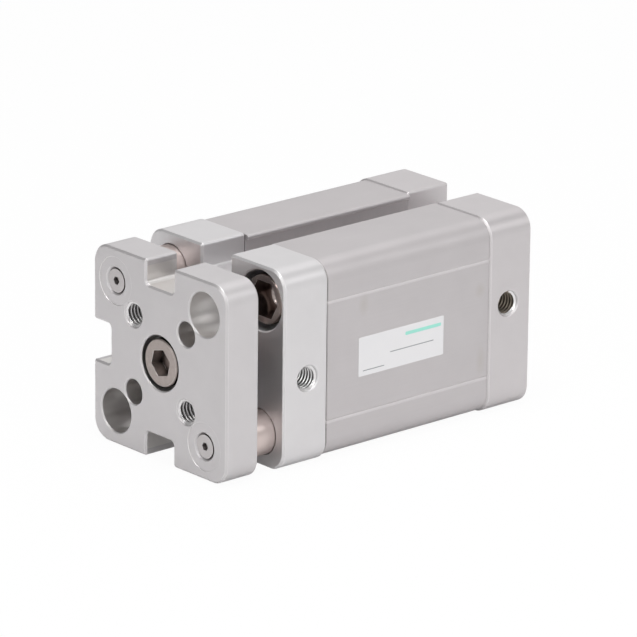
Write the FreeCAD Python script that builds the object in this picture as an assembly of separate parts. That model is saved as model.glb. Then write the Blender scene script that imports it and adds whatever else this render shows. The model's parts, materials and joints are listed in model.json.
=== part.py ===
import FreeCAD, Part
import math
import os

# Guided compact pneumatic cylinder with a square end plate.
# X is the stroke, Y points out of the port side and Z is up. The origin is the
# centre of the rear mounting face, and the plate is drawn in. All sizes are in mm.

# Bore, stroke and fits
bore = 25.0
stroke = 25.0
end_gap = 0.2  # piston to bumper at either end of the stroke
running_gap = 0.03  # radial, bush to rod and wear ring to bore
lip_gap = 0.05  # radial, seal lip to the face that it wipes
slip_gap = 0.05  # between pieces that are pressed or clamped together
thread_gap = 0.08  # radial, screw to tapped hole

# Square outlines
corner_spread = 1.0  # corner screw pitch beyond the bore
guide_spread = 1.4  # guide rod pitch beyond the bore
edge_wall = 1.0  # cover wall outside the corner counterbores
barrel_inset = 0.25  # barrel face below the cover face
plate_inset = 0.25  # plate edge inside the cover edge
corner_round = 4.0
end_chamfer = 0.4  # around both ends of the covers and the plate
mouth_chamfer = 0.25  # at the mouths of drilled holes
turned_chamfer = 0.4  # at the ends of turned pieces
screw_chamfer = 0.25  # at the ends of the screws

# Covers
cover_length = 11.0
spigot_length = 3.5
port_inset = 6.0  # port axis to the outer face of its cover
port_offset = 2.1  # port axis off the middle of the cover
port_thread = 5.0
port_depth = 8.5
passage_size = 2.0

# Sensor channels on the top, the bottom and the side away from the ports
channel_width = 8.4
channel_depth = 5.0
channel_round = 0.5
channel_mouth_round = 0.5  # of the covers and the plate
slot_lip = 0.8  # how far each barrel lip closes over the channel
lip_thickness = 1.1
lip_round_share = 0.45  # lip nose radius over the lip's thickness
panel_groove_height = 12.0  # grooves above and below the middle of the port side
panel_groove_width = 0.8
panel_groove_depth = 0.18

# Collar screws in the cover corners
collar_thread = 8.0
collar_grip = 8.0  # screwed length in the barrel
collar_head_size = 10.0
collar_head_length = 5.0
collar_recess = 1.0  # head below the cover face
collar_socket = 7.0
collar_socket_depth = 4.0
counterbore_gap = 1.0  # radial, around the head
mount_thread = 5.0  # tapped core of the collar screw
mount_thread_depth = 5.5  # below the socket
core_wall = 0.6  # tapped barrel hole to its drilled core
tap_runout = 1.5  # tapped depth beyond the screw tip

# Piston rod with its bush and seal
rod_size = 10.0
bush_wall = 1.0
seal_section = 3.0
seal_height = 3.7
seal_recess = 0.3  # seal below the cover face
seal_lip_reach = 1.0  # lip inside the seal's waist
seal_lip_length = 0.9
rod_seat = 2.5  # depth of the rod in the piston
rod_register = 1.5  # depth of the rod in the plate

# Piston and its rings
piston_gap = 0.2  # radial, piston to bore
piston_end_wall = 0.9
piston_land = 0.8
piston_seal_width = 1.8
piston_seal_depth = 3.0
piston_seal_heel = 0.7  # solid back of the cup seal
piston_seal_lip = 0.75  # thickness of its lips
magnet_width = 2.0
magnet_thickness = 2.4
wear_ring_thickness = 1.0
bumper_proud = 0.3
bumper_seat = 1.5
bumper_width = 1.1
bumper_wall = 0.9  # between the rod bush and the bumper
static_ring_section = 1.5
static_ring_room = 0.45  # groove width beyond the ring's section
rod_ring_section = 0.9
ring_corner = 0.25  # corners cut off the square sections of the static rings

# Screw that clamps the piston to the rod
piston_screw_thread = 5.0
piston_screw_head_size = 8.4
piston_screw_head = 2.6
piston_screw_reach = 10.0
piston_screw_socket = 3.0
piston_screw_socket_depth = 1.3
piston_screw_recess_gap = 0.25

# End plate and its screw
plate_gap = 6.0
plate_thickness = 8.0
notch_width = 8.2
notch_depth = 5.0
notch_round = 1.0
plate_circle = 22.0  # pitch circle of the tapped and the dowel holes
plate_thread = 5.0
plate_dowel = 5.0
access_size = 8.8  # holes in line with the collar screws
plate_screw_thread = 6.0
plate_screw_head_size = 9.5
plate_screw_head = 4.0
plate_screw_sunk = 0.3
plate_screw_recess_gap = 0.75
plate_screw_reach = 11.0
plate_screw_socket = 5.0
plate_screw_socket_depth = 2.6
plate_screw_turn = 15.0  # rests with its socket turned this many degrees

# Guide rods
guide_size = 9.0
guide_seat = 3.0  # depth of the rod in the plate
guide_overrun = 3.0  # rod left behind its bush with the plate out
guide_end_gap = 1.0
guide_bush_wall = 1.0
guide_bore_gap = 0.5  # radial, barrel to rod
guide_mouth_gap = 0.15  # radial, cover to rod in front of the bush
guide_mouth_length = 1.5
guide_screw_thread = 2.5
guide_screw_head_size = 4.7
guide_screw_land = 0.35  # straight rim of the countersunk head
guide_screw_sunk = 0.15
guide_screw_reach = 7.0
guide_screw_socket = 1.5
guide_screw_socket_depth = 1.0
guide_spot_size = 9.6  # shallow spot face around each guide screw
guide_spot_depth = 0.12

# Places worked out from the driving dimensions
bore_radius = bore / 2
piston_length = 2 * (piston_end_wall + piston_seal_width + piston_land) + magnet_width
end_room = spigot_length + bumper_proud + end_gap
barrel_length = 2 * end_room + piston_length + stroke
rear_joint = cover_length
front_joint = rear_joint + barrel_length
front_face = front_joint + cover_length
plate_back = front_face + plate_gap
plate_front = plate_back + plate_thickness
piston_rear = rear_joint + end_room
piston_front = piston_rear + piston_length
rod_radius = rod_size / 2
rod_rear = piston_front - rod_seat
rod_front = plate_back + rod_register
guide_radius = guide_size / 2
guide_rear = front_joint - stroke - guide_overrun
guide_front = plate_back + guide_seat

corner_pitch = bore + corner_spread
guide_pitch = bore + guide_spread
collar_head_radius = collar_head_size / 2
collar_radius = collar_thread / 2
counterbore_radius = collar_head_radius + counterbore_gap
cover_side = corner_pitch + 2 * (counterbore_radius + edge_wall)
barrel_side = cover_side - 2 * barrel_inset
plate_side = cover_side - 2 * plate_inset
collar_seat = cover_length - collar_recess - collar_head_length
slot_depth = channel_depth - barrel_inset
lip_round = lip_round_share * lip_thickness

spigot_radius = bore_radius - slip_gap
static_groove_radius = bore_radius - static_ring_section - 2 * slip_gap
bush_radius = rod_radius + bush_wall
seal_radius = rod_radius + seal_section
seal_pocket = seal_height + seal_recess
bumper_inner = bush_radius + bumper_wall
bumper_outer = bumper_inner + bumper_width
passage_circle = (bumper_outer + static_groove_radius) / 2
piston_radius = bore_radius - piston_gap
piston_seal_floor = piston_radius - piston_seal_depth
magnet_inner = bore_radius - wear_ring_thickness - magnet_thickness
magnet_outer = bore_radius - wear_ring_thickness
plate_screw_seat = plate_front - plate_screw_sunk - plate_screw_head
piston_screw_seat = piston_rear + end_gap + piston_screw_head

# Corners as signs of Y and Z
ALL_CORNERS = ((1, 1), (-1, 1), (-1, -1), (1, -1))
SCREW_CORNERS = ((1, 1), (-1, -1))
UPPER_GUIDE = (-1, 1)
LOWER_GUIDE = (1, -1)
GUIDE_CORNERS = (UPPER_GUIDE, LOWER_GUIDE)

# Sides of a square outline, counted in quarter turns from the port side
PORT_SIDE = 0
CHANNEL_SIDES = (1, 2, 3)

Vector = FreeCAD.Vector
ORIGIN = Vector(0, 0, 0)
X_AXIS = Vector(1, 0, 0)
Y_AXIS = Vector(0, 1, 0)


# Shapes used by several pieces

def bar(x0, x1, radius, y=0.0, z=0.0):
    """Round bar along X."""
    return Part.makeCylinder(radius, x1 - x0, Vector(x0, y, z), X_AXIS)


def hole(mouth, end, radius, y=0.0, z=0.0):
    """Cutter for a hole along X with a chamfered mouth."""
    way = X_AXIS if end > mouth else -X_AXIS
    start = Vector(mouth, y, z)
    drill = Part.makeCylinder(radius, abs(end - mouth), start, way)
    flare = Part.makeCone(radius + mouth_chamfer, radius, mouth_chamfer, start, way)
    return drill.fuse(flare)


def tube(x0, x1, inner, outer):
    """Ring along X."""
    return bar(x0, x1, outer).cut(bar(x0, x1, inner))


def hexagon(x0, x1, across, turn=0.0):
    """Hexagonal bar along X, across flats."""
    reach = across / math.sqrt(3)
    angles = [math.radians(turn + 60 * k) for k in range(7)]
    wire = Part.makePolygon([Vector(x0, reach * math.cos(a), reach * math.sin(a)) for a in angles])
    return Part.Face(wire).extrude(Vector(x1 - x0, 0, 0))


def turned(profile):
    """Solid of revolution about X from a closed profile of (x, radius) points."""
    points = [Vector(x, 0, r) for x, r in profile]
    return Part.Face(Part.makePolygon(points + points[:1])).revolve(ORIGIN, X_AXIS, 360)


def turned_bar(x0, x1, radius):
    """Round bar along X with both ends chamfered."""
    c = turned_chamfer
    return turned([(x0, 0), (x0, radius - c), (x0 + c, radius), (x1 - c, radius), (x1, radius - c), (x1, 0)])


def static_ring(x, inner, section):
    """Ring about X of square section with its corners cut, starting at x."""
    c = ring_corner
    end = x + section
    outer = inner + section
    profile = [(x, inner + c), (x, outer - c), (x + c, outer), (end - c, outer)]
    profile += [(end, outer - c), (end, inner + c), (end - c, inner), (x + c, inner)]
    return turned(profile)


def at_corner(shape, pitch, corner):
    """Copy of a shape moved from the axis to one corner of a square pattern."""
    moved = shape.copy()
    moved.translate(Vector(0, corner[0] * pitch / 2, corner[1] * pitch / 2))
    return moved


def at_corners(shape, pitch, corners):
    """Copies of a shape at several corners of a square pattern."""
    return [at_corner(shape, pitch, corner) for corner in corners]


def rounded_wire(corners, x):
    """Closed wire across X through corners of (y, z, radius)."""
    count = len(corners)
    spots = [Vector(x, y, z) for y, z, _ in corners]
    arcs = []
    for k, (_, _, radius) in enumerate(corners):
        spot = spots[k]
        if not radius:
            arcs.append((spot, None, spot))
            continue
        back = (spots[k - 1] - spot).normalize()
        ahead = (spots[(k + 1) % count] - spot).normalize()
        half = back.getAngle(ahead) / 2
        run = radius / math.tan(half)
        inward = (back + ahead).normalize()
        middle = spot + inward * (radius / math.sin(half) - radius)
        arcs.append((spot + back * run, middle, spot + ahead * run))
    edges = []
    for k, (start, middle, end) in enumerate(arcs):
        if middle:
            edges.append(Part.Arc(start, middle, end).toShape())
        edges.append(Part.LineSegment(end, arcs[(k + 1) % count][0]).toShape())
    return Part.Wire(edges)


def square_block(x0, x1, side, cuts, chamfer=0.0):
    """Square bar along X with rounded corners, grooves along its sides and chamfered ends.

    cuts maps a side, in quarter turns from +Y, to its groove's corners as
    (place along the side, depth, radius).
    """
    half = side / 2
    corners = []
    for quarter in range(4):
        for along, depth, radius in cuts.get(quarter, []) + [(half, 0, corner_round)]:
            y, z = half - depth, along
            for _ in range(quarter):
                y, z = -z, y
            corners.append((y, z, radius))
    block = Part.Face(rounded_wire(corners, x0)).extrude(Vector(x1 - x0, 0, 0))
    if not chamfer:
        return block
    ends = [edge for edge in block.Edges if edge.BoundBox.XLength < chamfer]
    return block.makeChamfer(chamfer, ends)


def channel(width, depth, radius):
    """Corners of a plain channel along a side, with rounded mouth and floor."""
    half = width / 2
    left = [(-half, 0, channel_mouth_round), (-half, depth, radius)]
    return left + [(-along, depth, radius) for along, depth, radius in reversed(left)]


def lipped_channel():
    """Corners of the barrel's sensor slot, whose rounded lips close over the channel."""
    half = channel_width / 2
    mouth = half - slot_lip
    left = [(-mouth, 0, lip_round), (-mouth, lip_thickness, lip_round)]
    left += [(-half, lip_thickness, 0), (-half, slot_depth, channel_round)]
    right = [(-along, depth, radius) for along, depth, radius in reversed(left)]
    return left + right


def panel_grooves():
    """Corners of the two fine grooves that frame the panel on the port side."""
    half = panel_groove_width / 2
    corners = []
    for height in (-panel_groove_height, panel_groove_height):
        corners += [(height - half, 0, 0), (height, panel_groove_depth, 0), (height + half, 0, 0)]
    return corners


# Covers, drawn with the joint at x = 0 and the outer face towards +X

def to_front(shape):
    """Copy of a cover piece moved to the front joint."""
    moved = shape.copy()
    moved.translate(Vector(front_joint, 0, 0))
    return moved


def to_rear(shape):
    """Copy of a cover piece turned end for end and moved to the rear joint."""
    moved = shape.copy()
    moved.rotate(ORIGIN, Y_AXIS, 180)
    moved.translate(Vector(rear_joint, 0, 0))
    return moved


def cover_blank():
    """Square cover with its spigot, sensor channels, port and air passage."""
    grooves = {side: channel(channel_width, channel_depth, channel_round) for side in CHANNEL_SIDES}
    block = square_block(0, cover_length, cover_side, grooves, end_chamfer)
    spigot = bar(-spigot_length, 0, spigot_radius)
    ring_width = static_ring_section + static_ring_room
    ring_groove = bar(-ring_width, 0, bore_radius).cut(bar(-ring_width, 0, static_groove_radius))
    ring_groove.translate(Vector((ring_width - spigot_length) / 2, 0, 0))
    bumper_groove = tube(-spigot_length, bumper_seat - spigot_length, bumper_inner, bumper_outer)
    return block.fuse(spigot).cut([ring_groove, bumper_groove] + port_cutters())


def port_cutters():
    """Tapped port in the port side and the passage from it to the piston side."""
    x = cover_length - port_inset
    z = -port_offset
    passage_radius = passage_size / 2
    passage_y = math.sqrt(passage_circle ** 2 - port_offset ** 2)
    mouth = Vector(x, cover_side / 2, z)
    radius = port_thread / 2
    port = Part.makeCylinder(radius, port_depth, mouth, -Y_AXIS)
    flare = Part.makeCone(radius + mouth_chamfer, radius, mouth_chamfer, mouth, -Y_AXIS)
    feed = Part.makeCylinder(passage_radius, cover_side / 2 - passage_y, mouth, -Y_AXIS)
    passage = bar(-spigot_length, x, passage_radius, passage_y, z)
    return [port, flare, feed, passage]


def collar_cutters(corners):
    """Counterbored clearance holes for collar screws."""
    seat = hole(cover_length, collar_seat, counterbore_radius)
    shank = bar(0, collar_seat, collar_radius + thread_gap)
    return at_corners(seat.fuse(shank), corner_pitch, corners)


def collar_screws(corners):
    """Collar screws with a hexagon socket and a tapped core."""
    c = screw_chamfer
    top = cover_length - collar_recess
    tip = -collar_grip
    shank = collar_radius - thread_gap
    head = collar_head_radius
    profile = [(top, 0), (top, head - c), (top - c, head), (collar_seat, head), (collar_seat, shank)]
    profile += [(tip + c, shank), (tip, shank - c), (tip, 0)]
    socket_floor = top - collar_socket_depth
    socket = hexagon(socket_floor, top, collar_socket)
    core = bar(socket_floor - mount_thread_depth, top, mount_thread / 2)
    screw = turned(profile).cut([socket, core])
    return Part.makeCompound(at_corners(screw, corner_pitch, corners))


def front_cover():
    """Cover that carries the rod bush, the rod seal and the guide bushes."""
    cutters = collar_cutters(SCREW_CORNERS)
    cutters.append(bar(-spigot_length, cover_length, bush_radius))
    cutters.append(hole(cover_length, cover_length - seal_pocket, seal_radius))
    bush_bore = bar(0, cover_length - guide_mouth_length, guide_radius + guide_bush_wall)
    mouth = bar(0, cover_length, guide_radius + guide_mouth_gap)
    cutters += at_corners(bush_bore.fuse(mouth), guide_pitch, GUIDE_CORNERS)
    return to_front(cover_blank().cut(cutters))


def rear_cover():
    """Closed cover with the four mounting corners."""
    return to_rear(cover_blank().cut(collar_cutters(ALL_CORNERS)))


def cover_ring():
    """Static seal in the groove of a cover's spigot."""
    start = -(spigot_length + static_ring_section) / 2
    return static_ring(start, bore_radius - slip_gap - static_ring_section, static_ring_section)


def bumper():
    """Cushion ring let into the end of a cover's spigot."""
    inner = bumper_inner + slip_gap
    outer = bumper_outer - slip_gap
    return tube(-spigot_length - bumper_proud, bumper_seat - spigot_length, inner, outer)


def rod_bush():
    """Plain bush for the piston rod."""
    end = cover_length - seal_pocket
    return to_front(tube(-spigot_length, end, rod_radius + running_gap, bush_radius - slip_gap))


def rod_seal():
    """Rod seal with a sealing lip inside and a wiping lip outside."""
    base = cover_length - seal_pocket
    top = base + seal_height
    lip = rod_radius + lip_gap
    waist = lip + seal_lip_reach
    outer = seal_radius - slip_gap
    profile = [(base, outer), (top, outer), (top, lip), (top - seal_lip_length, waist)]
    profile += [(base + seal_lip_length, waist), (base, lip)]
    return to_front(turned(profile))


def guide_bush(corner):
    """Plain bush for one guide rod."""
    end = cover_length - guide_mouth_length
    outer = guide_radius + guide_bush_wall - slip_gap
    bush = tube(0, end, guide_radius + running_gap, outer)
    return to_front(at_corner(bush, guide_pitch, corner))


# Barrel

def barrel():
    """Extruded barrel with lipped sensor slots, tapped corners and guide rod bores."""
    cuts = {side: lipped_channel() for side in CHANNEL_SIDES}
    cuts[PORT_SIDE] = panel_grooves()
    block = square_block(rear_joint, front_joint, barrel_side, cuts)
    cutters = [bar(rear_joint, front_joint, bore_radius)]
    core = bar(rear_joint, front_joint, collar_radius - core_wall)
    cutters += at_corners(core, corner_pitch, ALL_CORNERS)
    tapped = collar_grip + tap_runout
    rear_tap = hole(rear_joint, rear_joint + tapped, collar_radius)
    cutters += at_corners(rear_tap, corner_pitch, ALL_CORNERS)
    front_tap = hole(front_joint, front_joint - tapped, collar_radius)
    cutters += at_corners(front_tap, corner_pitch, SCREW_CORNERS)
    guide_bore = bar(guide_rear - guide_end_gap, front_joint, guide_radius + guide_bore_gap)
    cutters += at_corners(guide_bore, guide_pitch, GUIDE_CORNERS)
    return block.cut(cutters)


# Piston and rod

def piston():
    """Grooved piston, sunk at the back for its screw and at the front for the rod."""
    body = turned_bar(piston_rear, piston_front, piston_radius)
    grooves = []
    for start in piston_seal_starts():
        grooves.append(tube(start, start + piston_seal_width, piston_seal_floor, bore_radius))
    middle = (piston_rear + piston_front) / 2
    half = magnet_width / 2
    grooves.append(tube(middle - half, middle + half, magnet_inner - slip_gap, bore_radius))
    head_sink_radius = piston_screw_head_size / 2 + piston_screw_recess_gap
    head_sink = bar(piston_rear, piston_screw_seat, head_sink_radius)
    screw_hole = bar(piston_rear, piston_front, piston_screw_thread / 2 + thread_gap)
    rod_sink = bar(rod_rear, piston_front, rod_radius + slip_gap)
    ring_sink = bar(rod_rear - rod_ring_section, rod_rear, rod_ring_outer())
    return body.cut(grooves + [head_sink, screw_hole, rod_sink, ring_sink])


def piston_seal_starts():
    """Rear faces of the two seal grooves."""
    rear = piston_rear + piston_end_wall
    front = piston_front - piston_end_wall - piston_seal_width
    return rear, front


def piston_seal(start, lips_forward):
    """Cup seal whose lips open towards the pressure that it holds."""
    heel = start + slip_gap
    lips = start + piston_seal_width - slip_gap
    notch = heel + piston_seal_heel
    if not lips_forward:
        heel, lips = lips, heel
        notch = heel - piston_seal_heel
    inner = piston_seal_floor + slip_gap
    outer = bore_radius - lip_gap
    lip = piston_seal_lip
    profile = [(heel, inner), (lips, inner), (lips, inner + lip), (notch, (inner + outer) / 2)]
    profile += [(lips, outer - lip), (lips, outer), (heel, outer - lip / 2)]
    return turned(profile)


def magnet_ring():
    """Ring magnet that the sensors read, in the middle groove."""
    middle = (piston_rear + piston_front) / 2
    half = magnet_width / 2 - slip_gap
    return tube(middle - half, middle + half, magnet_inner, magnet_outer)


def wear_ring():
    """Plastic guide band over the magnet."""
    middle = (piston_rear + piston_front) / 2
    half = magnet_width / 2 - slip_gap
    return tube(middle - half, middle + half, magnet_outer + slip_gap, bore_radius - running_gap)


def rod_ring_outer():
    """Outer radius of the recess for the static ring under the rod."""
    return piston_screw_thread / 2 + 2 * thread_gap + rod_ring_section


def rod_ring():
    """Static seal around the screw, between the piston and the rod."""
    section = rod_ring_section - 2 * slip_gap
    inner = rod_ring_outer() - slip_gap - section
    return static_ring(rod_rear - rod_ring_section + slip_gap, inner, section)


def cap_screw(seat, head_size, head, thread, reach, socket, socket_depth, turn=0.0):
    """Low cap screw with its head in front of the seat and its shank behind."""
    c = screw_chamfer
    top = seat + head
    tip = seat - reach
    shank = thread / 2 - thread_gap
    radius = head_size / 2
    profile = [(top, 0), (top, radius - c), (top - c, radius), (seat, radius), (seat, shank)]
    profile += [(tip + c, shank), (tip, shank - c), (tip, 0)]
    return turned(profile).cut(hexagon(top - socket_depth, top, socket, turn))


def piston_screw():
    """Screw that clamps the piston to the rod, entered from the rear."""
    reach = rod_rear - piston_screw_seat + piston_screw_reach
    screw = cap_screw(
        0, piston_screw_head_size, piston_screw_head, piston_screw_thread, reach,
        piston_screw_socket, piston_screw_socket_depth
    )
    screw.rotate(ORIGIN, Y_AXIS, 180)
    screw.translate(Vector(piston_screw_seat, 0, 0))
    return screw


def piston_rod():
    """Rod tapped at both ends."""
    body = turned_bar(rod_rear, rod_front, rod_radius)
    rear_tap = bar(rod_rear, rod_rear + piston_screw_reach + tap_runout, piston_screw_thread / 2)
    front_tap = bar(rod_front - plate_screw_reach - tap_runout, rod_front, plate_screw_thread / 2)
    return body.cut([rear_tap, front_tap])


# End plate and guide rods

def front_plate():
    """Square end plate with notches in line with the sensor channels."""
    notches = {side: channel(notch_width, notch_depth, notch_round) for side in CHANNEL_SIDES}
    block = square_block(plate_back, plate_front, plate_side, notches, end_chamfer)
    circle_pitch = plate_circle / math.sqrt(2)
    cutters = at_corners(through_plate(plate_thread / 2), circle_pitch, GUIDE_CORNERS)
    cutters += at_corners(through_plate(plate_dowel / 2), circle_pitch, SCREW_CORNERS)
    cutters += at_corners(through_plate(access_size / 2), corner_pitch, SCREW_CORNERS)
    cutters.append(hole(plate_front, plate_screw_seat, plate_screw_head_size / 2 + plate_screw_recess_gap))
    cutters.append(bar(plate_back, plate_front, plate_screw_thread / 2 + thread_gap))
    cutters.append(bar(plate_back, rod_front, rod_radius + slip_gap))
    cutters += at_corners(guide_seat_cutter(), guide_pitch, GUIDE_CORNERS)
    return block.cut(cutters)


def through_plate(radius):
    """Cutter for a hole through the plate with both mouths chamfered."""
    return hole(plate_front, plate_back, radius).fuse(hole(plate_back, plate_front, radius))


def guide_seat_cutter():
    """Cutter for one guide rod's socket, screw hole, countersink and spot face."""
    spot_floor = plate_front - guide_spot_depth
    wide = guide_screw_head_size / 2 + slip_gap + guide_screw_sunk + guide_screw_land
    narrow = guide_screw_thread / 2 + thread_gap
    socket = bar(plate_back, guide_front, guide_radius + slip_gap)
    shank = bar(plate_back, plate_front, narrow)
    spot = bar(spot_floor, plate_front, guide_spot_size / 2)
    cone = Part.makeCone(wide, narrow, wide - narrow, Vector(spot_floor, 0, 0), -X_AXIS)
    return socket.fuse([shank, spot, cone])


def guide_rod(corner):
    """Guide rod tapped at the front for its screw."""
    body = turned_bar(guide_rear, guide_front, guide_radius)
    tap = bar(guide_front - guide_screw_reach - tap_runout, guide_front, guide_screw_thread / 2)
    return at_corner(body.cut(tap), guide_pitch, corner)


def guide_rod_screws():
    """Countersunk screws that hold the guide rods in the plate."""
    top = plate_front - guide_spot_depth - guide_screw_sunk
    head = guide_screw_head_size / 2
    shank = guide_screw_thread / 2 - thread_gap
    tip = guide_front - guide_screw_reach
    rim = top - guide_screw_land
    profile = [(top, 0), (top, head), (rim, head), (rim - head + shank, shank), (tip, shank), (tip, 0)]
    socket = hexagon(top - guide_screw_socket_depth, top, guide_screw_socket)
    screw = turned(profile).cut(socket)
    return Part.makeCompound(at_corners(screw, guide_pitch, GUIDE_CORNERS))


def plate_screw():
    """Screw that clamps the plate to the piston rod."""
    reach = plate_screw_seat - rod_front + plate_screw_reach
    return cap_screw(
        plate_screw_seat, plate_screw_head_size, plate_screw_head, plate_screw_thread, reach,
        plate_screw_socket, plate_screw_socket_depth, plate_screw_turn
    )


def assembly():
    """All the pieces by name."""
    rear_start, front_start = piston_seal_starts()
    return {
        "barrel": barrel(),
        "front_cover": front_cover(),
        "rear_cover": rear_cover(),
        "front_collar_screws": to_front(collar_screws(SCREW_CORNERS)),
        "rear_collar_screws": to_rear(collar_screws(ALL_CORNERS)),
        "front_cover_ring": to_front(cover_ring()),
        "rear_cover_ring": to_rear(cover_ring()),
        "front_bumper": to_front(bumper()),
        "rear_bumper": to_rear(bumper()),
        "rod_bush": rod_bush(),
        "rod_seal": rod_seal(),
        "guide_bush_upper": guide_bush(UPPER_GUIDE),
        "guide_bush_lower": guide_bush(LOWER_GUIDE),
        "piston": piston(),
        "piston_seal_rear": piston_seal(rear_start, False),
        "piston_seal_front": piston_seal(front_start, True),
        "magnet_ring": magnet_ring(),
        "wear_ring": wear_ring(),
        "rod_ring": rod_ring(),
        "piston_screw": piston_screw(),
        "piston_rod": piston_rod(),
        "front_plate": front_plate(),
        "plate_screw": plate_screw(),
        "guide_rod_upper": guide_rod(UPPER_GUIDE),
        "guide_rod_lower": guide_rod(LOWER_GUIDE),
        "guide_rod_screws": guide_rod_screws(),
    }


os.makedirs("parts", exist_ok=True)
for node, shape in assembly().items():
    shape.exportStep("parts/" + node + ".step")
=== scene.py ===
"""Guided compact pneumatic cylinder in a white studio.

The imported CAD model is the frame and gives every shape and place. This script gives each piece its
finish, cuts the screw threads into the tapped holes, sticks the blank label on the barrel, and sets
up the floor, the light and the camera. A name that ends in _mm or _MM is in millimetres.
"""

import json
import logging
import math
from dataclasses import dataclass, replace
from enum import Enum
from typing import Any, Iterable, Mapping

import bmesh
import bpy
from mathutils import Matrix, Vector


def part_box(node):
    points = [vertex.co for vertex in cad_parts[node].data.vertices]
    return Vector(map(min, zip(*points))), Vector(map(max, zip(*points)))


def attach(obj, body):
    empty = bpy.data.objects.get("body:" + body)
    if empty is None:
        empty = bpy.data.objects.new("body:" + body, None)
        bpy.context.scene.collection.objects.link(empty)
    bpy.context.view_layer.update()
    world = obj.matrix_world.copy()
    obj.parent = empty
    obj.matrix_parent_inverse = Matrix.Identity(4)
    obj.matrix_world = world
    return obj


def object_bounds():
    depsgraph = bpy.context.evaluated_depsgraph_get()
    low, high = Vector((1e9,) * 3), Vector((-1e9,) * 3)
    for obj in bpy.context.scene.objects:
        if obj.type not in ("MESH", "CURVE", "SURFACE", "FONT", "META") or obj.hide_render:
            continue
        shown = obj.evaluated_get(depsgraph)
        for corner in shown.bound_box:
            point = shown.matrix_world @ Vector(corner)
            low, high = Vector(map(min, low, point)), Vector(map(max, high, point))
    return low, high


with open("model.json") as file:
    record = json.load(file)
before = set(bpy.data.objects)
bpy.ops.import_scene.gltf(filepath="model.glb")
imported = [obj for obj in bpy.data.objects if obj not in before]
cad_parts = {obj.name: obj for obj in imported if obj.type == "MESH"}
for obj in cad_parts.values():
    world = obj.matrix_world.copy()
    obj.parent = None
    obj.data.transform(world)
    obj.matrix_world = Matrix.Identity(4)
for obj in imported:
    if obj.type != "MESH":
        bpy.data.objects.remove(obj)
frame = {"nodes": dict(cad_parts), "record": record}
cad_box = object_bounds()
log = logging.getLogger("cylinder")

Tree = bpy.types.NodeTree
Socket = bpy.types.NodeSocket
Triple = tuple[float, float, float]
Quad = tuple[float, float, float, float]

MM = 0.001
WHITE = "#FFFFFF"
# The Mix node's outputs for a number and for a colour.
MIXED_NUMBER, MIXED_COLOUR = 0, 2


class Body(str, Enum):
    """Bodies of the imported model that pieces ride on."""

    CYLINDER = "cylinder_body"
    ROD = "rod_assembly"


class Slot(str, Enum):
    """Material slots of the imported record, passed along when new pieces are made."""

    BLASTED_ALUMINIUM = "blasted_aluminium"
    SCREW_STEEL = "screw_steel"
    LABEL_FILM = "label_film"


class Lay(Enum):
    """Ways in which the marks of a process lie on a surface."""

    EVEN = "the same every way, as blasting leaves them"
    DRAWN = "along X, as an extrusion die leaves them"
    TURNED = "around axes along X, as turning and grinding leave them"


# Nodes and colours

def linear(colour: str) -> Quad:
    """Turns an sRGB hex colour into linear RGBA.

    Args:
        colour: A colour such as "#C0C0C0".

    Returns:
        Red, green, blue and alpha from 0 to 1.
    """
    shares = (int(colour[k:k + 2], 16) / 255 for k in (1, 3, 5))
    red, green, blue = (c / 12.92 if c <= 0.04045 else ((c + 0.055) / 1.055) ** 2.4 for c in shares)
    return red, green, blue, 1.0


def add_node(tree: Tree, kind: str, inputs: Mapping[str, Any], **settings: Any) -> bpy.types.Node:
    """Adds a node with its settings and links.

    Args:
        tree: Node tree that gets the node.
        kind: Blender's name for the type of node, without its "ShaderNode".
        inputs: For each input's identifier, a value to set or an output to link.
        settings: Attributes of the node.

    Returns:
        The node.
    """
    node = tree.nodes.new("ShaderNode" + kind)
    for name, value in settings.items():
        setattr(node, name, value)
    sockets = {socket.identifier: socket for socket in node.inputs}
    for name, value in inputs.items():
        if isinstance(value, Socket):
            tree.links.new(value, sockets[name])
        else:
            sockets[name].default_value = value
    return node


def new_material(name: str) -> tuple[bpy.types.Material, Tree]:
    """Makes a material with an empty node tree.

    Args:
        name: Name of the material.

    Returns:
        The material and its tree.
    """
    material = bpy.data.materials.new(name)
    material.use_nodes = True
    material.node_tree.nodes.clear()
    return material, material.node_tree


# Finishes

# Middle and half size of a soft spot, in millimetres.
Spot = tuple[Triple, Triple]


@dataclass(frozen=True)
class Patch:
    """Colour and roughness of the places that differ from the rest of a surface.

    Attributes:
        colour: Its colour.
        roughness: Its roughness.
    """

    colour: str
    roughness: float

    def over(self, tree: Tree, share: Socket | float, tint: Socket, gloss: Socket) -> tuple[Socket, Socket]:
        """Lays the patch over a surface.

        Args:
            tree: The material's node tree.
            share: How much of the patch lies on each place, from 0 to 1.
            tint: Colour under the patch.
            gloss: Roughness under the patch.

        Returns:
            The colour and the roughness.
        """
        tints = {"Factor_Float": share, "A_Color": tint, "B_Color": linear(self.colour)}
        glosses = {"Factor_Float": share, "A_Float": gloss, "B_Float": self.roughness}
        mixed = add_node(tree, "Mix", tints, data_type="RGBA")
        return mixed.outputs[MIXED_COLOUR], add_node(tree, "Mix", glosses).outputs[MIXED_NUMBER]


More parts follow.
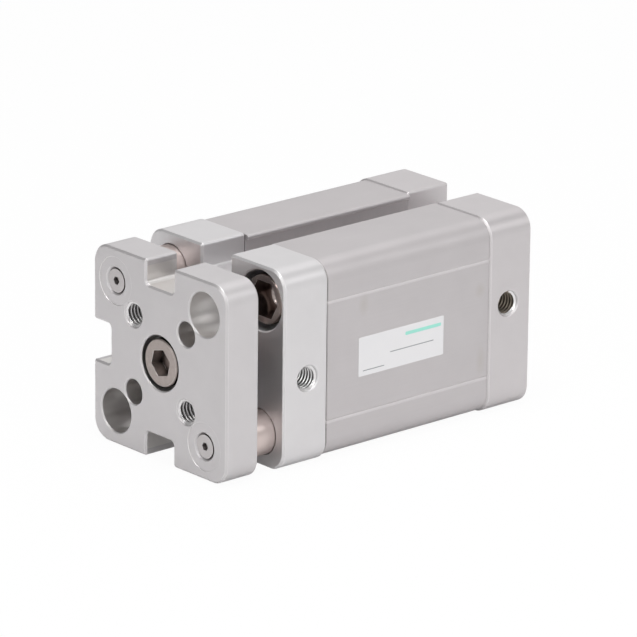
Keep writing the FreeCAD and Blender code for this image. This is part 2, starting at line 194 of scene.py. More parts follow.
@dataclass(frozen=True)
class Finish:
    """A solid material with faint clouds in its colour and the fine relief that its making leaves.

    Attributes:
        name: Name of the material.
        colour: Its colour.
        cloud_colour: Colour that its clouds turn to.
        roughness: Its middle roughness.
        roughness_spread: How far the grain takes the roughness up and down.
        grain_mm: Width of the grain.
        grain_depth_mm: Depth of the grain.
        metallic: 1 for a metal, 0 for anything else.
        lay: How the grain lies.
        centre_mm: Where the axes of turned grain lie, from the middle along both Y and Z.
        stretch: Length of drawn grain over its width.
        grain_detail: Octaves of noise in the grain.
        cloud_mm: Width of the clouds.
        cloud_detail: Octaves of noise in the clouds.
        edge_mm: Radius to which the edges look rounded.
        edge_samples: Rays that round an edge.
        edge: Look of the edges: rubbed to a lower roughness, and painted paler as a highlight.
        edge_turn: Cosine of the normal's turn at which the edge's look covers all.
        recess: Look of the painted shade in recesses.
        recess_mm: How far away the walls of a recess may stand.
        recess_samples: Rays that look for those walls.
        recess_open: Open share of the view at which the painted shade starts.
        recess_shut: Open share of the view at which it covers all.
        bore: Look of walls along X that were cut after the surface was finished.
        bore_reach_mm: How far from the middle such walls lie at most, along both Y and Z.
        bore_turn: Sine of the angle between X and the normal, from which a wall counts.
        groove_highlight: Look of the painted highlight along the grooves.
        groove_highlights_mm: Their places.
        smudge: Look of the smudges.
        smudges_mm: Their places.
        joint_shadow: Look of the painted shadow lines at the joints.
        joint_shadows_mm: Their places.
    """

    name: str
    colour: str
    cloud_colour: str
    roughness: float
    roughness_spread: float
    grain_mm: float
    grain_depth_mm: float
    metallic: float = 1.0
    lay: Lay = Lay.EVEN
    centre_mm: float = 0.0
    stretch: float = 60.0
    grain_detail: float = 3.0
    cloud_mm: float = 5.0
    cloud_detail: float = 2.0
    edge_mm: float = 0.12
    edge_samples: int = 6
    edge: Patch | None = None
    edge_turn: float = 0.9
    recess: Patch | None = None
    recess_mm: float = 2.0
    recess_samples: int = 8
    recess_open: float = 0.85
    recess_shut: float = 0.4
    bore: Patch | None = None
    bore_reach_mm: float = 0.0
    bore_turn: float = 0.9
    groove_highlight: Patch | None = None
    groove_highlights_mm: tuple[Spot, ...] = ()
    smudge: Patch | None = None
    smudges_mm: tuple[Spot, ...] = ()
    joint_shadow: Patch | None = None
    joint_shadows_mm: tuple[Spot, ...] = ()

    def material(self) -> bpy.types.Material:
        """Builds the material, or finds it if a piece has it already.

        Returns:
            The material.
        """
        known = bpy.data.materials.get(self.name)
        if known:
            return known
        material, tree = new_material(self.name)
        place = add_node(tree, "TexCoord", {}).outputs["Object"]
        fine = {"Vector": self.marks(tree, place), "Scale": 1.0, "Detail": self.grain_detail}
        grain = add_node(tree, "TexNoise", fine).outputs["Fac"]
        broad = {"Vector": place, "Scale": 1 / (self.cloud_mm * MM), "Detail": self.cloud_detail}
        clouds = add_node(tree, "TexNoise", broad).outputs["Fac"]
        tints = {"Factor_Float": clouds, "A_Color": linear(self.colour), "B_Color": linear(self.cloud_colour)}
        tint = add_node(tree, "Mix", tints, data_type="RGBA").outputs[MIXED_COLOUR]
        low, high = self.roughness - self.roughness_spread, self.roughness + self.roughness_spread
        gloss = add_node(tree, "MapRange", {"Value": grain, "To Min": low, "To Max": high}).outputs["Result"]
        edges = {"Radius": self.edge_mm * MM}
        rounded = add_node(tree, "Bevel", edges, samples=self.edge_samples).outputs["Normal"]
        # Marks at known places: a painted highlight along the grooves, painted shadow lines at the joints,
        # and real smudges.
        marked = (
            (self.groove_highlight, self.groove_highlights_mm),
            (self.smudge, self.smudges_mm),
            (self.joint_shadow, self.joint_shadows_mm),
        )
        for patch, spots in marked:
            if patch:
                tint, gloss = patch.over(tree, self.spotted(tree, place, spots), tint, gloss)
        if self.bore:
            tint, gloss = self.bore.over(tree, self.drilled(tree, place), tint, gloss)
        # Paler colour at the edges is a painted highlight; their lower roughness stands for real rubbing.
        if self.edge:
            tint, gloss = self.edge.over(tree, self.edge_wear_and_highlight(tree, rounded), tint, gloss)
        # Painted shade: an ambient occlusion mask darkens the colour in recesses.
        if self.recess:
            tint, gloss = self.recess.over(tree, self.painted_recess_shade(tree), tint, gloss)
        bumps = {"Strength": 1.0, "Distance": self.grain_depth_mm * MM, "Height": grain, "Normal": rounded}
        relief = add_node(tree, "Bump", bumps).outputs["Normal"]
        look = {"Base Color": tint, "Metallic": self.metallic, "Roughness": gloss, "Normal": relief}
        shader = add_node(tree, "BsdfPrincipled", look)
        add_node(tree, "OutputMaterial", {"Surface": shader.outputs["BSDF"]})
        return material

    def spotted(self, tree: Tree, place: Socket, spots: Iterable[Spot]) -> Socket | float:
        """Finds soft spots or streaks at known places.

        Args:
            tree: The material's node tree.
            place: Place on the piece, in metres.
            spots: Middle and half size of each spot, in millimetres.

        Returns:
            Up to 1 in the middle of a spot, and 0 outside.
        """
        share: Socket | float = 0.0
        for middle, size in spots:
            from_middle = {"Vector": place, "Vector_001": Vector(middle) * MM}
            moved = add_node(tree, "VectorMath", from_middle, operation="SUBTRACT").outputs["Vector"]
            in_sizes = {"Vector": moved, "Vector_001": Vector(size) * MM}
            scaled = add_node(tree, "VectorMath", in_sizes, operation="DIVIDE").outputs["Vector"]
            away = add_node(tree, "VectorMath", {"Vector": scaled}, operation="LENGTH").outputs["Value"]
            ends = {"Value": away, "From Min": 1.0, "From Max": 0.0}
            near = add_node(tree, "MapRange", ends).outputs["Result"]
            both = {"Value": near, "Value_001": share}
            share = add_node(tree, "Math", both, operation="MAXIMUM").outputs["Value"]
        return share

    def drilled(self, tree: Tree, place: Socket) -> Socket:
        """Finds the walls along X inside the outer faces of a piece: those of its holes and notches.

        Args:
            tree: The material's node tree.
            place: Place on the piece, in metres.

        Returns:
            1 on those walls and 0 elsewhere.
        """
        folded = add_node(tree, "VectorMath", {"Vector": place}, operation="ABSOLUTE").outputs["Vector"]
        across = add_node(tree, "SeparateXYZ", {"Vector": folded}).outputs
        sides = {"Value": across["Y"], "Value_001": across["Z"]}
        far = add_node(tree, "Math", sides, operation="MAXIMUM").outputs["Value"]
        within = {"Value": far, "Value_001": self.bore_reach_mm * MM}
        inside = add_node(tree, "Math", within, operation="LESS_THAN").outputs["Value"]
        flat = add_node(tree, "NewGeometry", {}).outputs["Normal"]
        from_axis = {"Vector": flat, "Vector_001": (1, 0, 0)}
        turned = add_node(tree, "VectorMath", from_axis, operation="CROSS_PRODUCT").outputs["Vector"]
        turn = add_node(tree, "VectorMath", {"Vector": turned}, operation="LENGTH").outputs["Value"]
        upright = {"Value": turn, "Value_001": self.bore_turn}
        along = add_node(tree, "Math", upright, operation="GREATER_THAN").outputs["Value"]
        both = {"Value": along, "Value_001": inside}
        return add_node(tree, "Math", both, operation="MULTIPLY").outputs["Value"]

    def edge_wear_and_highlight(self, tree: Tree, rounded: Socket) -> Socket:
        """Finds the edges, which handling rubs to a lower roughness and which get a painted highlight.

        Args:
            tree: The material's node tree.
            rounded: Normal that turns smoothly at the edges.

        Returns:
            1 on the edges and 0 away from them.
        """
        flat = add_node(tree, "NewGeometry", {}).outputs["Normal"]
        normals = {"Vector": rounded, "Vector_001": flat}
        turn = add_node(tree, "VectorMath", normals, operation="DOT_PRODUCT").outputs["Value"]
        ends = {"Value": turn, "From Min": 1.0, "From Max": self.edge_turn}
        return add_node(tree, "MapRange", ends).outputs["Result"]

    def painted_recess_shade(self, tree: Tree) -> Socket:
        """Finds the recesses, which get painted shade.

        Args:
            tree: The material's node tree.

        Returns:
            1 deep in a recess and 0 in the open.
        """
        walls = {"Distance": self.recess_mm * MM}
        room = add_node(tree, "AmbientOcclusion", walls, samples=self.recess_samples).outputs["AO"]
        ends = {"Value": room, "From Min": self.recess_open, "From Max": self.recess_shut}
        return add_node(tree, "MapRange", ends).outputs["Result"]

    def marks(self, tree: Tree, place: Socket) -> Socket:
        """Gives the coordinates in which the grain is one unit wide.

        Args:
            tree: The material's node tree.
            place: Place on the piece, in metres.

        Returns:
            The coordinates.
        """
        fine = 1 / (self.grain_mm * MM)
        if self.lay is not Lay.TURNED:
            along = fine / self.stretch if self.lay is Lay.DRAWN else fine
            scaled = {"Vector": place, "Vector_001": (along, fine, fine)}
            return add_node(tree, "VectorMath", scaled, operation="MULTIPLY").outputs["Vector"]
        centre = self.centre_mm * MM
        folded = add_node(tree, "VectorMath", {"Vector": place}, operation="ABSOLUTE").outputs["Vector"]
        from_axis = {"Vector": folded, "Vector_001": (0, centre, centre)}
        shifted = add_node(tree, "VectorMath", from_axis, operation="SUBTRACT").outputs["Vector"]
        apart = add_node(tree, "SeparateXYZ", {"Vector": shifted}).outputs
        across = add_node(tree, "CombineXYZ", {"Y": apart["Y"], "Z": apart["Z"]}).outputs["Vector"]
        radius = add_node(tree, "VectorMath", {"Vector": across}, operation="LENGTH").outputs["Value"]
        turned = add_node(tree, "CombineXYZ", {"X": apart["X"], "Y": radius}).outputs["Vector"]
        scaled = {"Vector": turned, "Scale": fine}
        return add_node(tree, "VectorMath", scaled, operation="SCALE").outputs["Vector"]


# Ends of the barrel, where it joins the covers, and its port side.
barrel_low, barrel_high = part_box("barrel")
REAR_JOINT_MM, FRONT_JOINT_MM = barrel_low.x / MM, barrel_high.x / MM
PORT_FACE_MM = barrel_high.y / MM
# How far under the port side the middles of its spots lie, and a half size that reaches past every piece.
SPOT_UNDER_MM = 0.15
ENDLESS_MM = 500.0
# Axes of the guide rods and of the hollow screws, from the middle along both Y and Z.
GUIDE_AXIS_MM = 13.2
HOLLOW_AXIS_MM = 13.0


def port_spot(
    along_mm: float, up_mm: float, length_mm: float, height_mm: float, depth_mm: float = 1.0
) -> Spot:
    """Places a soft spot on the barrel's port side.

    Args:
        along_mm: Its middle along X.
        up_mm: Its middle along Z.
        length_mm: Half its size along X.
        height_mm: Half its size along Z.
        depth_mm: Half its size along Y.

    Returns:
        Its middle and half size.
    """
    return (along_mm, PORT_FACE_MM - SPOT_UNDER_MM, up_mm), (length_mm, depth_mm, height_mm)


# Bead blasted and clear anodised aluminium of the plate: an even pale satin with soft highlights, its edges
# rubbed to a lower roughness and painted paler as a highlight. The blasting's dents are drawn about twice as
# coarse as the real ones, so that they show. The plate's holes were reamed and its notches milled after
# blasting, so their walls are brighter.
BLASTED = Finish(
    name="aluminium_blasted_anodised", colour="#D0CDCE", cloud_colour="#CAC7C8",
    roughness=0.48, roughness_spread=0.05, grain_mm=0.15, grain_depth_mm=0.0025,
    edge=Patch("#F0EEEE", 0.3), bore=Patch("#DEDBD9", 0.41), bore_reach_mm=18.4,
)
# The same on the covers, blasted all over, in two copies that paint light and shade: the front cover's is a
# shade paler, for the stronger light on it, and the rear cover's a shade greyer, for the weaker.
BLASTED_PAINTED_LIT = replace(
    BLASTED, name="aluminium_blasted_anodised_painted_lit", colour="#DAD8D9", cloud_colour="#D4D2D3",
    roughness=0.47, edge=Patch("#F2F0F0", 0.3), bore=None,
)
BLASTED_PAINTED_DIM = replace(
    BLASTED, name="aluminium_blasted_anodised_painted_dim", colour="#D0CCCD", cloud_colour="#CAC6C7",
    edge_mm=0.15, edge=Patch("#F0EDEE", 0.3), bore=None,
)
# Extruded and matt anodised aluminium: a shade darker and warmer, with faint die lines along the bar, and its
# edges rubbed to a lower roughness and painted paler as a highlight. On the port side its two fine grooves
# get a painted highlight, hands have left a few greyish smudges, and the joints with the covers get painted
# shadow lines.
EXTRUDED = Finish(
    name="aluminium_extruded_anodised", colour="#C8C4C5", cloud_colour="#C1BDBE",
    roughness=0.52, roughness_spread=0.05, grain_mm=0.18, grain_depth_mm=0.0015,
    lay=Lay.DRAWN, cloud_mm=8.0, edge=Patch("#E6E3E4", 0.4),
    groove_highlight=Patch("#D7D3D4", 0.5),
    groove_highlights_mm=tuple(port_spot(35.0, groove_mm, ENDLESS_MM, 0.45) for groove_mm in (11.9, -12.1)),
    smudge=Patch("#BFBAB8", 0.52),
    smudges_mm=(
        port_spot(43.7, 9.6, 1.5, 2.6),
        port_spot(13.3, 6.3, 1.6, 1.8),
        port_spot(12.9, -8.3, 1.4, 3.8),
    ),
    joint_shadow=Patch("#78726F", 0.5),
    joint_shadows_mm=(
        port_spot(FRONT_JOINT_MM, 0.0, 0.3, ENDLESS_MM, 6.0),
        port_spot(REAR_JOINT_MM, 0.0, 0.12, ENDLESS_MM, 6.0),
    ),
)
# Freshly cut aluminium in the tapped holes: crests painted bright as a highlight over roots darkened by
# painted shade.
TAPPED = Finish(
    name="aluminium_tapped", colour="#E4E2E2", cloud_colour="#DCDADA",
    roughness=0.3, roughness_spread=0.05, grain_mm=0.1, grain_depth_mm=0.002,
    edge_mm=0.11, edge=Patch("#FBFAFA", 0.24),
    recess=Patch("#242020", 0.3), recess_mm=0.5, recess_open=0.6, recess_shut=0.3,
)
# The front port's thread, with more of its roots darkened by painted shade.
TAPPED_DEEP_SHADE = replace(TAPPED, name="aluminium_tapped_deep_shade", recess_open=0.8, recess_shut=0.5)
# The rear port's thread, which the assembler oiled: the same metal, browned, with painted shade in its roots.
TAPPED_OILED = Finish(
    name="aluminium_tapped_oiled", colour="#A39A8E", cloud_colour="#8C8276",
    roughness=0.34, roughness_spread=0.05, grain_mm=0.1, grain_depth_mm=0.002,
    edge_mm=0.11, recess=Patch("#564E46", 0.34), recess_mm=1.2,
)
# Turned aluminium of the piston: bright rings.
TURNED = Finish(
    name="aluminium_turned", colour="#D2D0D0", cloud_colour="#C8C6C6",
    roughness=0.32, roughness_spread=0.05, grain_mm=0.12, grain_depth_mm=0.002, lay=Lay.TURNED,
)
# Plain turned steel of the plate's middle screw: warm grey, finely ringed and a little speckled, with its
# edges painted paler as a highlight and painted shade in its socket and around its head.
CAP_SCREW = Finish(
    name="steel_turned_oiled", colour="#B8AEAB", cloud_colour="#978D87",
    roughness=0.42, roughness_spread=0.07, grain_mm=0.12, grain_depth_mm=0.002,
    lay=Lay.TURNED, cloud_mm=0.6, edge_mm=0.15, edge=Patch("#E6DEDB", 0.3),
    recess=Patch("#231C19", 0.3), recess_mm=2.5, recess_open=0.7, recess_shut=0.4,
)
# The same steel on the small countersunk screws, brighter, with paler painted edges and lighter painted
# shade.
SUNK_SCREW = Finish(
    name="steel_turned_bright", colour="#C9C5C5", cloud_colour="#BFBABA",
    roughness=0.44, roughness_spread=0.06, grain_mm=0.1, grain_depth_mm=0.0015,
    lay=Lay.TURNED, centre_mm=GUIDE_AXIS_MM, edge_mm=0.08, edge=Patch("#DAD7D7", 0.38),
    recess=Patch("#6A6462", 0.36), recess_mm=1.0,
)
# Burnished steel of the hollow cover screws: warm grey with sharp glints, its edges painted paler as a
# highlight and its socket darkened to brown by painted shade.
COLLAR_SCREW = Finish(
    name="steel_burnished", colour="#B0A5A1", cloud_colour="#958A85",
    roughness=0.24, roughness_spread=0.06, grain_mm=0.1, grain_depth_mm=0.0015,
    lay=Lay.TURNED, centre_mm=HOLLOW_AXIS_MM, edge_mm=0.1, edge=Patch("#E6DCD8", 0.2),
    recess=Patch("#54453F", 0.14), recess_mm=3.0,
)
# Centreless ground steel of the piston rod: warm grey, with fine lines around.
GROUND_ROD = Finish(
    name="steel_ground", colour="#D3C5C1", cloud_colour="#CBBDB8",
    roughness=0.36, roughness_spread=0.04, grain_mm=0.06, grain_depth_mm=0.0008, lay=Lay.TURNED,
)
# The same on the guide rods, a trace paler, with lines around their own axes.
GROUND_GUIDE = replace(
    GROUND_ROD, name="steel_ground_guide", colour="#D5C7C3", cloud_colour="#CDBFBA", centre_mm=GUIDE_AXIS_MM
)
# Sintered bronze of the bushes: dull gold with open pores.
BRONZE = Finish(
    name="bronze_sintered", colour="#B08D57", cloud_colour="#9A7845",
    roughness=0.45, roughness_spread=0.1, grain_mm=0.12, grain_depth_mm=0.004,
)
# Moulded nitrile of the seals: black with a dull sheen.
NITRILE = Finish(
    name="nitrile_moulded", colour="#1C1C1D", cloud_colour="#242425",
    roughness=0.55, roughness_spread=0.08, grain_mm=0.2, grain_depth_mm=0.004, metallic=0.0,
)
# Moulded polyurethane of the end cushions: dark blue green, slightly glossy.
POLYURETHANE = Finish(
    name="polyurethane_moulded", colour="#24404A", cloud_colour="#2B4A55",
    roughness=0.42, roughness_spread=0.06, grain_mm=0.4, grain_depth_mm=0.003, metallic=0.0,
)
# Bonded ferrite of the ring magnet: dark grey and grainy.
FERRITE = Finish(
    name="ferrite_bonded", colour="#343436", cloud_colour="#2B2B2D",
    roughness=0.6, roughness_spread=0.1, grain_mm=0.15, grain_depth_mm=0.005, metallic=0.0,
)
# Moulded acetal of the wear ring: ivory and waxy.
ACETAL = Finish(
    name="acetal_moulded", colour="#DAD5C3", cloud_colour="#D3CDB9",
    roughness=0.4, roughness_spread=0.05, grain_mm=0.3, grain_depth_mm=0.002, metallic=0.0,
)
# Printed polyester film of the label: near white with a faint gloss.
FILM = Finish(
    name="polyester_film_white", colour="#D9D8D9", cloud_colour="#D5D4D6",
    roughness=0.42, roughness_spread=0.04, grain_mm=0.5, grain_depth_mm=0.001, metallic=0.0, edge_mm=0.02,
)
# Ink screen printed on the film: flat and even, a touch duller than the film.
TEAL_INK = Finish(
    name="ink_teal", colour="#8FD3C4", cloud_colour="#9AD9CB",
    roughness=0.45, roughness_spread=0.05, grain_mm=0.2, grain_depth_mm=0.001, metallic=0.0, edge_mm=0.005,
)
GREY_INK = replace(TEAL_INK, name="ink_grey", colour="#85898B", cloud_colour="#7C8082")


# Pieces

def dress(nodes: Iterable[str], finish: Finish) -> None:
    """Gives CAD nodes their finish.

    Args:
        nodes: Names of the nodes.
        finish: The finish.
    """
    for node in nodes:
        mesh = frame["nodes"][node].data
        mesh.materials.clear()
        mesh.materials.append(finish.material())
        log.info("%s: %s", node, finish.name)


def new_piece(
    name: str, shape: bmesh.types.BMesh, body: Body, slot: Slot, *finishes: Finish
) -> bpy.types.Object:
    """Makes a piece of the object from a finished shape, in the frame of the part.

    Args:
        name: Name of the piece.
        shape: Its shape, which is used up.
        body: Body that it rides on.
        slot: Material slot for its finish; not used.
        finishes: Its finishes, in the order of the faces' material numbers.

    Returns:
        The piece.
    """
    mesh = bpy.data.meshes.new(name)
    shape.to_mesh(mesh)
    shape.free()
    for finish in finishes:
        mesh.materials.append(finish.material())
    piece = bpy.data.objects.new(name, mesh)
    bpy.context.scene.collection.objects.link(piece)
    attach(piece, body.value)
    log.info("%s rides on %s", name, body.value)
    return piece


@dataclass(frozen=True)
class Thread:
    """Helical ridge of a metric thread on the wall of a tapped hole, whose wall is at the full diameter.

    Attributes:
        pitch_mm: Way along the hole in one turn.
        steps: Steps in one turn.
        root_mm: How far the ridge's foot goes into the wall.
        countersink_mm: How far the countersink at each mouth goes down the hole.
        weld_mm: Gap at which corners are joined.
        sharp_deg: Angle from which an edge stays sharp.
    """

    pitch_mm: float = 0.8
    steps: int = 40
    root_mm: float = 0.02
    countersink_mm: float = 0.43
    weld_mm: float = 0.0001
    sharp_deg: float = 25.0

    def profile(self) -> list[tuple[float, float]]:
        """Gives the ridge's outline, in the proportions of a metric thread.

        Returns:
            Its corners as (place along the hole, height above the wall), in millimetres.
        """
        height = self.pitch_mm * 5 * math.sqrt(3) / 16
        base, crest = self.pitch_mm * 7 / 16, self.pitch_mm / 8
        flank = [(-base, -self.root_mm), (-base, 0.0), (-crest, height)]
        return flank + [(-along, up) for along, up in reversed(flank)]

    def cut(
        self, mount: Mapping[str, Any], body: Body, slot: Slot, finish: Finish, mouth: Finish
    ) -> bpy.types.Object:
        """Winds the ridge down a tapped hole, lower at both mouths as a countersink leaves it.

        Args:
            mount: The hole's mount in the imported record, placed at the middle of its wall.
            body: Body that has the hole.
            slot: Material slot of the piece with the hole.
            finish: Finish of the thread.
            mouth: Finish of the countersink at its mouth.

        Returns:
            The thread as a piece.
        """
        middle, axis = Vector(mount["pos_m"]), Vector(mount["axis"])
        wall, length = mount["dims"]["r_mm"], mount["dims"]["length_mm"]
        across = axis.orthogonal().normalized()
        aside = axis.cross(across)
        profile = self.profile()
        shape = bmesh.new()
        rows = []
        for step in range(math.ceil(length / self.pitch_mm * self.steps) + 1):
            turn = math.tau * step / self.steps
            outward = across * math.cos(turn) + aside * math.sin(turn)
            centre = self.pitch_mm * step / self.steps
            row = []
            for offset, height in profile:
                depth = min(max(centre + offset, 0.0), length)
                share = min(depth, length - depth, self.countersink_mm) / self.countersink_mm
                radius = wall - height * (share if height > 0 else 1.0)
                place = middle + axis * ((length / 2 - depth) * MM) + outward * (radius * MM)
                row.append(shape.verts.new(place))
            rows.append(row)
        for row, following in zip(rows, rows[1:]):
            for k in range(len(profile)):
                shape.faces.new((row[k - 1], row[k], following[k], following[k - 1]))
        shape.faces.new(reversed(rows[0]))
        shape.faces.new(rows[-1])
        bmesh.ops.remove_doubles(shape, verts=shape.verts, dist=self.weld_mm * MM)
        bmesh.ops.recalc_face_normals(shape, faces=shape.faces)
        for face in shape.faces:
            face.smooth = True
            depth = length / 2 - (face.calc_center_median() - middle).dot(axis) / MM
            face.material_index = int(depth < self.countersink_mm)
        piece = new_piece(mount["name"] + "_turns", shape, body, slot, finish, mouth)
        piece.data.set_sharp_from_angle(angle=math.radians(self.sharp_deg))
        return piece


def tapped_holes(prefix: str) -> list[Mapping[str, Any]]:
    """Finds the tapped holes whose mounts' names start with a word.

    Args:
        prefix: Start of the names.

    Returns:
        The mounts.
    """
    mounts = frame["record"]["mounts"]
    return [m for m in mounts if m["kind"] == "threaded_hole" and m["name"].startswith(prefix)]


@dataclass(frozen=True)
class Label:
    """Blank film label on the port side of the barrel, with plain printed rules.

    Attributes:
        width_mm: Size along X.
        height_mm: Size along Z.
        thickness_mm: Thickness of the film.
        ink_mm: Thickness of the ink.
        corner_mm: Radius of the corners.
        corner_steps: Steps in one corner.
        from_rear_mm: Middle along X.
        above_middle_mm: Middle along Z.
        band_mm: Ends of the teal band along X and then along Z, from the label's middle.
        lines_mm: The same for each grey line.
    """

    width_mm: float = 22.0
    height_mm: float = 7.9
    thickness_mm: float = 0.06
    ink_mm: float = 0.006
    corner_mm: float = 0.25
    corner_steps: int = 5
    from_rear_mm: float = 33.9
    above_middle_mm: float = -0.8
    band_mm: Quad = (-10.3, -1.0, 2.0, 2.7)
    lines_mm: tuple[Quad, ...] = ((-8.4, 2.9, -0.6, -0.42), (4.4, 9.9, -3.0, -2.82))

    def build(self) -> bpy.types.Object:
        """Builds the film and its rules on the barrel's face.

        Returns:
            The label.
        """
        top = PORT_FACE_MM + self.thickness_mm
        half_width, half_height = self.width_mm / 2, self.height_mm / 2
        shape = bmesh.new()
        self.sheet(shape, (-half_width, half_width), (-half_height, half_height), (PORT_FACE_MM, top), 0)
        for number, (x0, x1, z0, z1) in [(1, self.band_mm)] + [(2, line) for line in self.lines_mm]:
            self.sheet(shape, (x0, x1), (z0, z1), (top, top + self.ink_mm), number)
        return new_piece("label", shape, Body.CYLINDER, Slot.LABEL_FILM, FILM, TEAL_INK, GREY_INK)

    def sheet(
        self, shape: bmesh.types.BMesh, width: tuple[float, float], height: tuple[float, float],
        depth: tuple[float, float], number: int,
    ) -> None:
        """Adds a thin rounded sheet to the label's shape.

        Args:
            shape: The label's shape.
            width: Ends along X from the label's middle, in millimetres.
            height: Ends along Z from the label's middle.
            depth: Ends along Y.
            number: Material number of its faces.
        """
        radius = min(self.corner_mm, (height[1] - height[0]) / 2)
        loops = []
        for y in depth:
            loop = []
            for corner, (x_end, z_end) in enumerate(((1, 1), (0, 1), (0, 0), (1, 0))):
                x = width[x_end] + (radius if x_end == 0 else -radius)
                z = height[z_end] + (radius if z_end == 0 else -radius)
                for k in range(self.corner_steps + 1):
                    turn = math.tau / 4 * (corner + k / self.corner_steps)
                    along = self.from_rear_mm + x + radius * math.cos(turn)
                    up = self.above_middle_mm + z + radius * math.sin(turn)
                    loop.append(shape.verts.new(Vector((along, y, up)) * MM))
            loops.append(loop)
        inner, outer = loops
        faces = [shape.faces.new(inner), shape.faces.new(reversed(outer))]
        for k in range(len(inner)):
            faces.append(shape.faces.new((inner[k - 1], outer[k - 1], outer[k], inner[k])))
        bmesh.ops.recalc_face_normals(shape, faces=faces)
        for face in faces:
            face.material_index = number


@dataclass(frozen=True)
class Barrel:
    """Slotted barrel with its label.

    Attributes:
        label: The label.
    """

    label: Label = Label()

    def build(self) -> None:
        """Dresses the barrel and sticks the label on it."""
        dress(["barrel"], EXTRUDED)
        self.label.build()


@dataclass(frozen=True)
class Covers:
    """Front and rear covers with their screws, ports, bushes, seals and cushions.

    Attributes:
        thread: Thread of the ports and the hollow screws.
    """

    thread: Thread = Thread()

    def build(self) -> None:
        """Dresses the covers and cuts the threads of their ports and hollow screws."""
        dress(["front_cover"], BLASTED_PAINTED_LIT)
        dress(["rear_cover"], BLASTED_PAINTED_DIM)
        dress(["front_collar_screws", "rear_collar_screws"], COLLAR_SCREW)
        dress(["rod_bush", "guide_bush_upper", "guide_bush_lower"], BRONZE)
        dress(["rod_seal", "front_cover_ring", "rear_cover_ring"], NITRILE)
        dress(["front_bumper", "rear_bumper"], POLYURETHANE)
        for prefix, finish in (("front_port", TAPPED_DEEP_SHADE), ("rear_port", TAPPED_OILED)):
            for mount in tapped_holes(prefix):
                self.thread.cut(mount, Body.CYLINDER, Slot.BLASTED_ALUMINIUM, finish, TAPPED)
        for mount in tapped_holes("front_thread") + tapped_holes("rear_thread"):
            self.thread.cut(mount, Body.CYLINDER, Slot.SCREW_STEEL, COLLAR_SCREW, COLLAR_SCREW)


@dataclass(frozen=True)
class Piston:
    """Piston with its rings and rod."""

    def build(self) -> None:
        """Dresses the piston, its rings, its screw and the rod."""
        dress(["piston"], TURNED)
        dress(["piston_seal_rear", "piston_seal_front", "rod_ring"], NITRILE)
        dress(["magnet_ring"], FERRITE)
        dress(["wear_ring"], ACETAL)
        dress(["piston_screw"], CAP_SCREW)
        dress(["piston_rod"], GROUND_ROD)


@dataclass(frozen=True)
class EndPlate:
    """End plate with its screws and the guide rods.

    Attributes:
        thread: Thread of the plate's tapped holes.
    """

    thread: Thread = Thread(countersink_mm=0.2)

    def build(self) -> None:
        """Dresses the plate, its screws and the guide rods, and cuts the plate's threads."""
        dress(["front_plate"], BLASTED)
        dress(["plate_screw"], CAP_SCREW)
        dress(["guide_rod_screws"], SUNK_SCREW)
        dress(["guide_rod_upper", "guide_rod_lower"], GROUND_GUIDE)
        for mount in tapped_holes("plate_thread"):
            self.thread.cut(mount, Body.ROD, Slot.BLASTED_ALUMINIUM, TAPPED, TAPPED)


# Studio

@dataclass(frozen=True)
class Softbox:
    """Square soft lamp that faces the object.

    Attributes:
        name: Name of the lamp.
        way: Direction in which it hangs from the object.
        distance_m: How far away it hangs.
        size_m: Its side.
        watts: Its power.
    """

    name: str
    way: Triple
    distance_m: float
    size_m: float
    watts: float

    def build(self, aim: Vector) -> None:
        """Hangs the lamp.

        Args:
            aim: Point that it faces.
        """
        lamp = bpy.data.lights.new(self.name, "AREA")
        lamp.size = self.size_m
        lamp.energy = self.watts
        holder = bpy.data.objects.new(self.name, lamp)
        way = Vector(self.way).normalized()
        holder.location = aim + way * self.distance_m
        holder.rotation_mode = "QUATERNION"
        holder.rotation_quaternion = way.to_track_quat("Z", "Y")
        bpy.context.scene.collection.objects.link(holder)


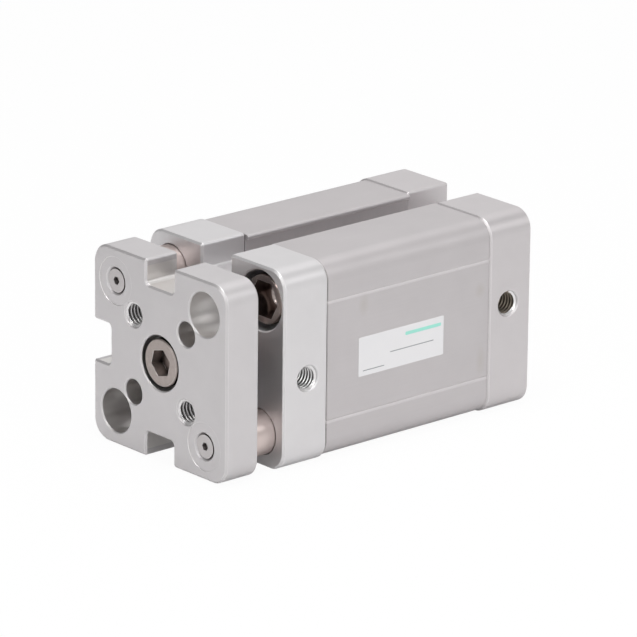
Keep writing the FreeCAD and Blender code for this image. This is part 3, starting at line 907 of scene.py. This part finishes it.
@dataclass(frozen=True)
class Studio:
    """White floor and surroundings, soft lamps and the camera.

    Attributes:
        floor_side_m: Side of the floor.
        floor_colour: Colour of the floor under light and shadow.
        seen_glow: Share of its own white in the floor that the camera sees.
        mirrored_glow: Share of its own white in the floor that the object mirrors.
        ceiling_light: Brightness of the ceiling, where the walls have 1.
        wall_top: Upward part of a direction, up to which there is wall.
        ceiling_start: Upward part of a direction, from which there is ceiling.
        lamps: The three small ones give the glints, and the larger ones the even light on each side.
        aim_mm: Point in the middle of the picture.
        azimuth_deg: Turn of the camera around the object.
        elevation_deg: Its height above the level.
        roll_deg: Its turn around its own axis.
        distance_mm: Its distance from the point.
        lens_mm: Its focal length.
    """

    floor_side_m: float = 12.0
    floor_colour: str = "#DBDBDB"
    seen_glow: float = 0.955
    mirrored_glow: float = 0.12
    ceiling_light: float = 0.34
    wall_top: float = 0.04
    ceiling_start: float = 0.16
    lamps: tuple[Softbox, ...] = (
        Softbox("glint", (0.70, 0.24, 0.64), 0.7, 0.12, 0.4),
        Softbox("port_glint", (0.35, 0.67, 0.66), 0.7, 0.12, 0.25),
        Softbox("plate_glint", (0.88, -0.2, 0.4), 0.7, 0.12, 0.15),
        Softbox("front", (0.75, 0.55, 0.35), 0.7, 0.3, 0.31),
        Softbox("top", (0.1, 0.1, 1.0), 0.7, 0.4, 3.9),
        Softbox("port_side", (0.1, 0.95, 0.35), 0.7, 0.4, 1.2),
        Softbox("overhead", (-0.60, 0.61, 0.52), 0.8, 0.36, 0.64),
        Softbox("back", (-0.63, -0.46, 0.62), 0.8, 0.8, 1.2),
        Softbox("left", (0.3, -0.9, 0.4), 0.8, 0.5, 0.05),
    )
    aim_mm: Triple = (38.137, 0.427, 0.763)
    azimuth_deg: float = 138.517
    elevation_deg: float = 18.252
    roll_deg: float = 0.637
    distance_mm: float = 1067.62
    lens_mm: float = 310.19

    def build(self) -> None:
        """Sets up the floor, the surroundings, the lamps and the camera."""
        aim = Vector(self.aim_mm) * MM
        self.floor()
        self.surroundings()
        for lamp in self.lamps:
            lamp.build(aim)
        self.camera(aim)
        bpy.context.scene.view_settings.view_transform = "Standard"

    def glow_share(self, tree: Tree) -> Socket:
        """Tells how much of the floor's look is its own white, and the rest is light and shadow.

        Args:
            tree: The floor's node tree.

        Returns:
            A large share as the camera sees it, a small one in reflections and clear pieces, and else none.
        """
        path = add_node(tree, "LightPath", {}).outputs
        indirect = {"Value": path["Is Glossy Ray"], "Value_001": path["Is Transmission Ray"]}
        mirrored = add_node(tree, "Math", indirect, operation="MAXIMUM").outputs["Value"]
        faint = {"Value": mirrored, "Value_001": self.mirrored_glow}
        small = add_node(tree, "Math", faint, operation="MULTIPLY").outputs["Value"]
        total = {"Value": path["Is Camera Ray"], "Value_001": self.seen_glow, "Value_002": small}
        return add_node(tree, "Math", total, operation="MULTIPLY_ADD").outputs["Value"]

    def floor(self) -> None:
        """Lays the floor under the covers. It looks white and keeps a faint shadow."""
        shape = bmesh.new()
        bmesh.ops.create_grid(shape, x_segments=1, y_segments=1, size=self.floor_side_m / 2)
        mesh = bpy.data.meshes.new("floor")
        shape.to_mesh(mesh)
        shape.free()
        material, tree = new_material("floor_white")
        plain = add_node(tree, "BsdfDiffuse", {"Color": linear(self.floor_colour)}).outputs["BSDF"]
        glow = add_node(tree, "Emission", {"Color": linear(WHITE), "Strength": 1.0}).outputs["Emission"]
        looks = {"Fac": self.glow_share(tree), "Shader": plain, "Shader_001": glow}
        mixed = add_node(tree, "MixShader", looks)
        add_node(tree, "OutputMaterial", {"Surface": mixed.outputs["Shader"]})
        mesh.materials.append(material)
        floor = bpy.data.objects.new("floor", mesh)
        floor.location.z = cad_box[0].z
        bpy.context.scene.collection.objects.link(floor)

    def surroundings(self) -> None:
        """Puts white walls all round, which fade into a dim ceiling."""
        world = bpy.data.worlds.new("studio")
        world.use_nodes = True
        tree = world.node_tree
        tree.nodes.clear()
        way = add_node(tree, "TexCoord", {}).outputs["Generated"]
        height = add_node(tree, "SeparateXYZ", {"Vector": way}).outputs["Z"]
        fade = {
            "Value": height, "From Min": self.wall_top, "From Max": self.ceiling_start,
            "To Min": 1.0, "To Max": self.ceiling_light,
        }
        level = add_node(tree, "MapRange", fade, interpolation_type="SMOOTHSTEP").outputs["Result"]
        light = add_node(tree, "Background", {"Color": linear(WHITE), "Strength": level})
        add_node(tree, "OutputWorld", {"Surface": light.outputs["Background"]})
        bpy.context.scene.world = world

    def camera(self, aim: Vector) -> None:
        """Sets the camera at the photograph's viewing angle.

        Args:
            aim: Point in the middle of the picture.
        """
        azimuth, elevation = math.radians(self.azimuth_deg), math.radians(self.elevation_deg)
        level = math.cos(elevation)
        back = Vector((math.sin(azimuth) * level, -math.cos(azimuth) * level, math.sin(elevation)))
        lens = bpy.data.cameras.new("camera")
        lens.lens = self.lens_mm
        lens.clip_end = self.floor_side_m * 2
        camera = bpy.data.objects.new("camera", lens)
        roll = Matrix.Rotation(math.radians(self.roll_deg), 3, "Z")
        turn = back.to_track_quat("Z", "Y").to_matrix() @ roll
        camera.matrix_world = Matrix.Translation(aim + back * (self.distance_mm * MM)) @ turn.to_4x4()
        bpy.context.scene.collection.objects.link(camera)
        bpy.context.scene.camera = camera


def main() -> None:
    """Builds the object and its studio."""
    logging.basicConfig(level=logging.INFO, format="%(message)s")
    for part in (Barrel(), Covers(), Piston(), EndPlate(), Studio()):
        part.build()


if __name__ == "__main__":
    main()
